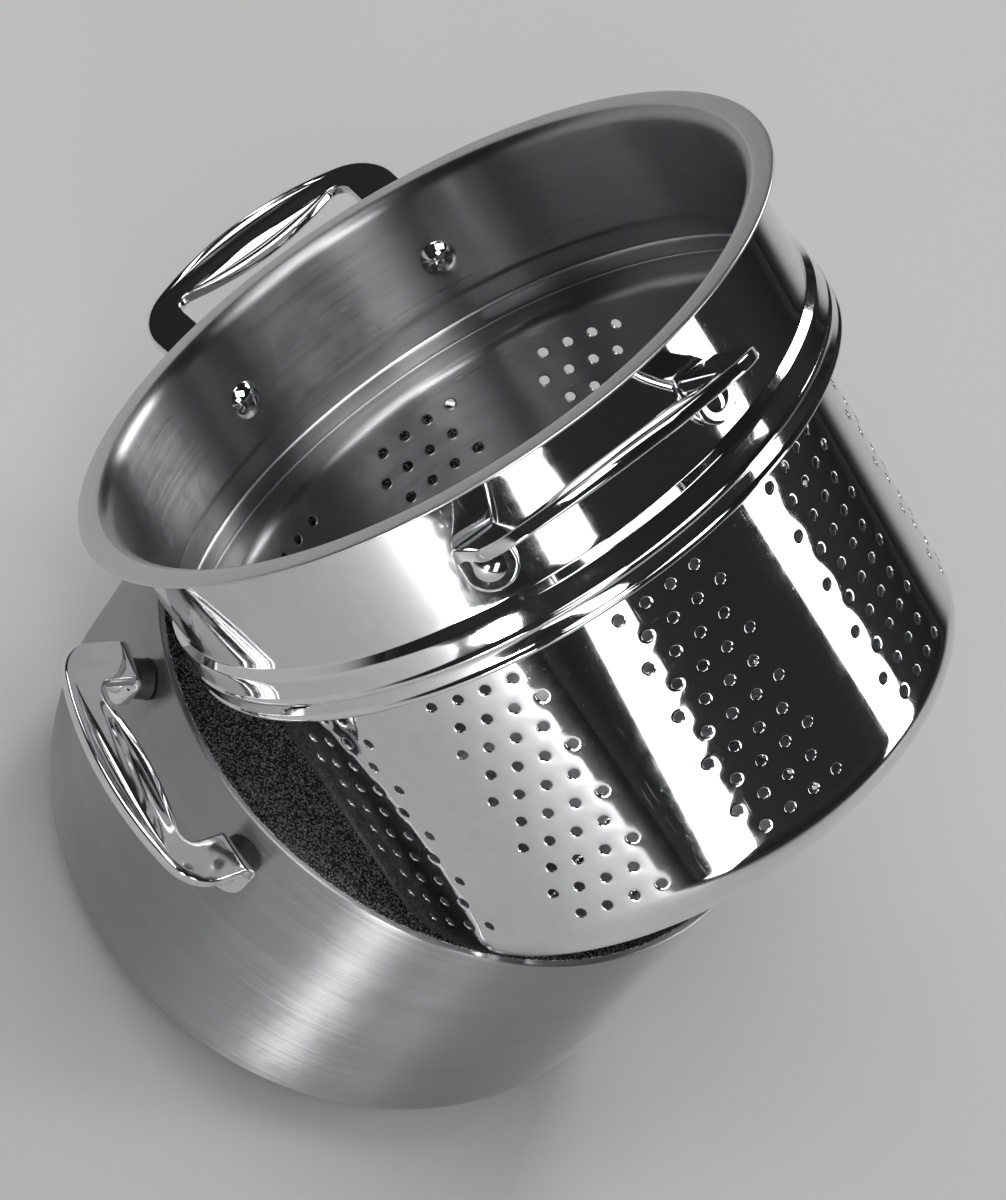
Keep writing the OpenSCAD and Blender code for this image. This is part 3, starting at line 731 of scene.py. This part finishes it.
def handleStations(h):
    # each station: inner and outer edge, the plate's upward normal, and its share of the grip
    a = math.radians(h["angle"])
    rise = math.radians(h["rise"])
    mid = h["face"] + h["plate"] / 2
    wall = np.array([math.cos(a), math.sin(a), 0.0])
    stations = []

    def add(centre, across, normal, width, lens=0.0, low=None):
        stations.append((centre - across * width / 2, centre + across * width / 2, normal, lens, low))

    level = np.array([-math.sin(a), math.cos(a), 0.0])
    for k in range(h["tabSteps"]):
        turn = math.radians(h["footTurn"] + (90 - h["footTurn"]) * k / h["tabSteps"])
        low = -h["tab"] * math.cos(turn)
        add(mid * wall + [0, 0, h["height"] + low], level, -wall, 2 * h["tab"] * math.sin(turn), low=low)
    bendTop = math.pi / 2 - rise
    armTurn = math.radians(h["armTurn"])
    for k in range(h["bendSteps"] + 1):
        share = k / h["bendSteps"]
        b = bendTop * share
        nu = a * (1 - share)
        out = np.array([math.cos(a + (armTurn - a) * share), math.sin(a + (armTurn - a) * share), 0.0])
        centre = mid * wall + out * h["bend"] * (1 - math.cos(b))
        centre = centre + [0, 0, h["height"] + h["tabTop"] + h["bend"] * math.sin(b)]
        normal = np.array([-math.cos(b) * math.cos(nu), -math.cos(b) * math.sin(nu), math.sin(b)])
        heading = np.array([out[0] * math.sin(b), out[1] * math.sin(b), math.cos(b)])
        heading -= normal * (heading @ normal)
        across = np.cross(normal, heading / np.linalg.norm(heading))
        add(centre, across, normal, 2 * h["tab"] + (h["arm"] - 2 * h["tab"]) * share)
    root = stations[-1]
    middle = (root[0] + root[1]) / 2
    across = np.array([-math.sin(armTurn), math.cos(armTurn)])
    line = middle[:2] @ across
    outer = gripEdge(h, line + h["arm"] / 2, h["outerCorner"], h["outerGrip"], h["reach"])
    inner = gripEdge(h, line - h["arm"] / 2, h["innerCorner"], h["innerGrip"], h["reach"] - h["grip"])

    def lifted(p):
        return np.array([p[0], p[1], middle[2] + (p[0] - middle[0]) * math.tan(rise)])

    up = np.array([-math.sin(rise), 0.0, math.cos(rise)])
    for k in range(1, h["armSteps"] + 1):
        share = k / h["armSteps"]
        ends = [lifted(root[side][:2] + (edge[0] - root[side][:2]) * share)
                for side, edge in ((0, inner), (1, outer))]
        stations.append((ends[0], ends[1], up, 0.0, None))
    for k in range(1, h["cornerSteps"] + 1):
        stations.append((lifted(inner[1][k]), lifted(outer[1][k]), up, 0.0, None))
    for k in range(1, h["gripSteps"] + 1):
        share = k / h["gripSteps"]
        stations.append((lifted(inner[2][k]), lifted(outer[2][k]), up, share, None))
    return stations


def plateHeight(h, edge):
    r = h["edge"]
    inset = r - min(max(edge, 0.0), r)
    return h["plate"] / 2 - r + math.sqrt(max(r * r - inset * inset, 0.0))


def lensOpening(h, share):
    # how far the scooped lenses are open, from their tips to the middle of the grip
    if share <= h["lensTip"]:
        return 0.0
    x = (1 - share) / (1 - h["lensTip"])
    return max(0.0, 1 - x * x) ** h["lensPower"]


def handleSection(h, width, share, low):
    # points across the plate, as (across, up): over the top from the inner edge, and back under
    half = width / 2
    opened = lensOpening(h, share)
    rimAt = max(half - h["rim"], half * h["narrowest"])
    ridgeAt = min(h["ridge"], rimAt * h["narrowest"])
    mid, reach = (rimAt + ridgeAt) / 2, (rimAt - ridgeAt) / 2
    spread = reach * max(opened, h["closedLens"])
    near, far = mid - spread, mid + spread
    swell = min(share * h["swell"], 1)
    crown = h["crown"] * swell ** 2 * (3 - 2 * swell)
    rounding = [half - h["edge"] * (1 - math.cos(math.radians(t))) for t in (10, 25, 40, 60, 75, 90)]
    rounding = [max(r, rimAt + 0.05) for r in rounding]
    if half <= 2:
        rounding = [half * (1 - t / 8) for t in range(6)]
    scoop = [far + (near - far) * k / 8 for k in range(9)]
    ridge = [near * (1 - k / 4) for k in range(1, 5)]

    def edgeAt(v):
        return half - abs(v) if low is None else h["tab"] - math.hypot(low, v)

    def topAt(v):
        base = plateHeight(h, edgeAt(v))
        v = abs(v)
        lifted = crown * math.exp(-(v / (half * h["crownWidth"])) ** 2 * h["crownFall"])
        if near < v < far and opened > 0:
            t = (v - near) / (far - near)
            deepest, fall = h["scoopShape"]
            lifted -= h["scoop"] * opened * 4 * t * (1 - t) * (deepest - fall * t)
        return base + lifted * min(1, edgeAt(v) / h["edge"])

    def underAt(v):
        bulge = h["belly"] * swell * max(0.0, 1 - (v / half) ** 2)
        return -plateHeight(h, edgeAt(v)) - bulge

    outward = rounding + scoop + ridge
    top = [-v for v in outward] + outward[-2::-1]
    bottomHalf = rounding + [rounding[-1] * (1 - k / 6) for k in range(1, 7)]
    bottom = bottomHalf + [-v for v in bottomHalf[-2::-1]]
    return [(v, topAt(v)) for v in top] + [(v, underAt(v)) for v in bottom]


def makeHandle(h):
    half = handleStations(h)
    flip = np.array([1.0, -1.0, 1.0])
    other = [(inner * flip, outer * flip, up * flip, share, low)
             for inner, outer, up, share, low in half[-2::-1]]
    points, rings = [], []
    for inner, outer, up, share, low in half + other:
        middle = (inner + outer) / 2
        width = np.linalg.norm(outer - inner)
        across = (outer - inner) / width
        ring = handleSection(h, width, share, low)
        rings.append(list(range(len(points), len(points) + len(ring))))
        points += [middle + across * v + up * t for v, t in ring]
    faces = []
    for a, b in zip(rings, rings[1:]):
        faces += ringFaces(b, a)
    faces += [tuple(rings[0]), tuple(rings[-1][::-1])]
    return np.array(points), faces


def dome(diameter, height, steps=14):
    # a spherical cap as a turned path, from its middle to its edge
    radius = (diameter ** 2 / 4 + height ** 2) / (2 * height)
    end = math.degrees(math.asin(min(1, diameter / 2 / radius)))
    turns = [math.radians(end * k / steps) for k in range(steps + 1)]
    return [(radius * math.sin(t), height - radius + radius * math.cos(t)) for t in turns]


def standing(angle, out, height):
    # a part turned about Z, laid over so that it points out of the wall
    place = Matrix.Rotation(math.radians(angle), 4, "Z") @ Matrix.Translation((out * mm, 0, height * mm))
    return place @ Matrix.Rotation(math.radians(90), 4, "Y")


def gather(parts):
    # several meshes as one: (points, faces) with the numbers shifted
    points, faces = [], []
    for ownPoints, ownFaces in parts:
        base = sum(len(p) for p in points)
        faces += [tuple(k + base for k in f) for f in ownFaces]
        points.append(ownPoints)
    return np.concatenate(points), faces


# diameters and heights; a heat break is waisted between two chamfered ends
fasteners = {"nut": (11.0, 5.0), "nutSkirt": 0.4, "break": (15.0, 8.0), "chamfer": 0.5, "waist": 0.35,
             "end": 2.2, "seat": 0.3, "head": (14.0, 3.5), "button": (11.0, 1.4), "columns": 48}


def breakPath():
    d, t = fasteners["break"]
    chamfer, end, seat = fasteners["chamfer"], fasteners["end"], fasteners["seat"]
    waist = d / 2 - fasteners["waist"]
    path = [(0, seat), (d / 2 - chamfer, seat), (d / 2, seat + chamfer), (waist, end), (waist, t - end)]
    return (path + [(d / 2, t - seat - chamfer), (d / 2 - chamfer, t), (0, t)])[::-1]


def fastenerSets(kind, h):
    # for each node of a handle: path, how far out it stands, its turn, and which way it faces
    f = fasteners
    sets = {}
    for turn in (-h["angle"], h["angle"]):
        out = h["face"] + h["plate"]
        if kind == "pot":
            d, t = f["nut"]
            cap = dome(d, t) + [(d / 2 - f["nutSkirt"], 0), (0, 0)]
            sets.setdefault("caps", []).append((cap, out, turn, 1))
            sets.setdefault("breaks", []).append((breakPath(), h["face"] - f["break"][1], turn, 1))
        else:
            d, t = f["head"]
            inside = h["face"] - strainer["sheet"] - d * d / 8 / h["face"]
            sets.setdefault("rivets", []).append((dome(*f["button"]) + [(0, 0)], out, turn, 1))
            sets["rivets"].append((dome(d, t) + [(0, 0)], inside, turn, -1))
    return sets


def handlePieces(kind, h, side, body, names, place):
    spin = Matrix.Rotation(math.radians(side), 4, "Z")
    points, faces = makeHandle(h)
    own = moved(points * mm, spin)
    makePiece(names["handle"] + "_loop", moved(own, place), faces, body,
              [polishedCast], replaced=[names["handle"]], spots=own, crease=28)
    for label, items in fastenerSets(kind, h).items():
        made = []
        for path, out, turn, way in items:
            profile = turnedPath(path, spacing=0.1, turn=6, reach=1.2)
            points, faces = turnedRings(profile, fasteners["columns"])
            facing = Matrix.Identity(4) if way > 0 else Matrix.Rotation(math.pi, 4, "X")
            stand = spin @ standing(turn, out, h["height"]) @ facing
            made.append((moved(points * mm, stand), [f[::-1] for f in faces]))  # its path runs downwards
        points, faces = gather(made)
        slot, material = "fasteners", polishedCast
        if label == "breaks":
            slot, material = "heat_breaks", blackMoulding
        makePiece(names[label] + "_turned", moved(points, place), faces, body, [material],
                  replaced=[names[label]], spots=points, crease=40)


upright = Matrix.Identity(4)
for side, end in ((180, "left"), (0, "right")):
    names = {"handle": f"handle_{end}", "caps": f"cap_nuts_{end}", "breaks": f"heat_breaks_{end}"}
    handlePieces("pot", potHandle, side, "pot", names, upright)
for side, end in ((0, "near"), (180, "far")):
    names = {"handle": f"strainer_handle_{end}", "rivets": f"rivets_{end}"}
    handlePieces("strainer", strainerHandle, side, "strainer", names, strainerPlace)
for end in ("left", "right"):
    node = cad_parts[f"studs_{end}"]
    node.data.materials.clear()
    node.data.materials.append(polishedCast)
print("handles and fasteners made")


# studio: pale floor, soft lamps, and a dark grey room

studio = {"floor": 0.56, "mottled": 0.97, "rough": 0.7, "shine": 0.2, "reach": 14.0, "aim": (0, 0, 0.15),
          "room": ((0.0, 0.03), (0.06, 0.015), (0.35, 0.03), (1.0, 0.01)),
          "lamps": (
              {"name": "topLamp", "from": (-0.7, 0.2, 2.3), "size": (1.1, 1.6), "power": 20},
              {"name": "keyLamp", "from": (1.35, 1.15, 1.5), "size": (0.6, 1.0), "power": 20},
              {"name": "frontStrip", "from": (-0.38, -1.8, 0.62), "size": (0.35, 0.9), "power": 4},
              {"name": "lowLamp", "from": (-1.1, -1.41, 0.26), "size": (0.24, 0.5), "power": 13},
              {"name": "fillLamp", "from": (-1.25, -0.68, 1.75), "size": (0.7, 0.7), "power": 9},
              {"name": "rightStrip", "from": (1.4, -0.95, 0.85), "size": (0.4, 1.3), "power": 7},
              {"name": "backLamp", "from": (-0.8, 1.4, 1.5), "size": (0.8, 0.8), "power": 5},
          )}


def makeStudio():
    reach = studio["reach"]
    mesh = bpy.data.meshes.new("floor")
    corners = [(-reach, -reach, 0), (reach, -reach, 0), (reach, reach, 0), (-reach, reach, 0)]
    mesh.from_pydata(corners, [], [(0, 1, 2, 3)])
    floor = bpy.data.objects.new("floor", mesh)
    scene.collection.objects.link(floor)
    material = bpy.data.materials.new("paleFloor")
    material.use_nodes = True
    tree = material.node_tree
    shader = tree.nodes["Principled BSDF"]
    spot = put(tree, "ShaderNodeNewGeometry").outputs["Position"]
    mottled = put(tree, "ShaderNodeTexNoise", {"Vector": spot, "Scale": 3.0, "Detail": 3.0})
    tone = ranged(tree, mottled.outputs["Fac"], 0.3, 0.7,
                  studio["floor"] * studio["mottled"], studio["floor"])
    tree.links.new(tone, shader.inputs["Base Color"])
    shader.inputs["Roughness"].default_value = studio["rough"]
    shader.inputs["Specular IOR Level"].default_value = studio["shine"]
    mesh.materials.append(material)
    floor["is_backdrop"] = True

    world = bpy.data.worlds.new("greyRoom")
    scene.world = world
    world.use_nodes = True
    tree = world.node_tree
    heading = put(tree, "ShaderNodeTexCoord").outputs["Generated"]
    up = put(tree, "ShaderNodeSeparateXYZ", {0: heading}).outputs["Z"]
    ramp = put(tree, "ShaderNodeValToRGB", {"Fac": up})
    stops = ramp.color_ramp.elements
    while len(stops) < len(studio["room"]):
        stops.new(0.5)
    for stop, (where, shade) in zip(stops, studio["room"]):
        stop.position = where
        stop.color = (shade, shade, shade, 1)
    tree.links.new(ramp.outputs["Color"], tree.nodes["Background"].inputs["Color"])

    for lamp in studio["lamps"]:
        light = bpy.data.lights.new(lamp["name"], "AREA")
        light.shape = "RECTANGLE"
        light.size, light.size_y = lamp["size"]
        light.energy = lamp["power"]
        holder = bpy.data.objects.new(lamp["name"], light)
        scene.collection.objects.link(holder)
        place = Vector(lamp["from"])
        aim = Vector(studio["aim"]) - place
        holder.location = place
        holder.rotation_mode = "QUATERNION"
        holder.rotation_quaternion = aim.to_track_quat("-Z", "Y")


makeStudio()


# camera: the photograph's own view of the strainer and the pot, rolled as it is there

view = {"right": (0.7639, -0.4807, 0.4304), "up": (0.2080, 0.8145, 0.5410),
        "distance": 1.62, "fill": 0.9, "width": 1006, "height": 1200}


def makeCamera():
    # every seventh point and a few rounds are enough to frame the pieces
    right = Vector(view["right"])
    up = Vector(view["up"])
    back = right.cross(up).normalized()
    up = back.cross(right).normalized()
    right.normalize()
    points = np.concatenate([np.array([tuple(o.matrix_world @ v.co) for v in o.data.vertices])[::7]
                             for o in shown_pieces() if o.type == "MESH"])
    centre = Vector((points.min(0) + points.max(0)) / 2)
    for _ in range(6):
        place = centre + back * view["distance"]
        local = (points - np.array(place)) @ np.array([right, up, back]).T
        flat = local[:, :2] / -local[:, 2:]
        low, high = flat.min(0), flat.max(0)
        aim = (low + high) / 2 * view["distance"]
        centre = centre + right * aim[0] + up * aim[1]
    data = bpy.data.cameras.new("camera")
    camera = bpy.data.objects.new("camera", data)
    scene.collection.objects.link(camera)
    scene.camera = camera
    turn = Matrix((right, up, back)).transposed()
    camera.matrix_world = Matrix.Translation(place) @ turn.to_4x4()
    data.sensor_width = 36
    tall = (high[1] - low[1]) / view["fill"]
    wide = (high[0] - low[0]) / view["fill"] * view["height"] / view["width"]
    data.lens = data.sensor_width / max(tall, wide)
    data.clip_start, data.clip_end = 0.01, 50
    print("camera lens", round(data.lens, 1))


makeCamera()
scene.view_settings.view_transform = "Standard"
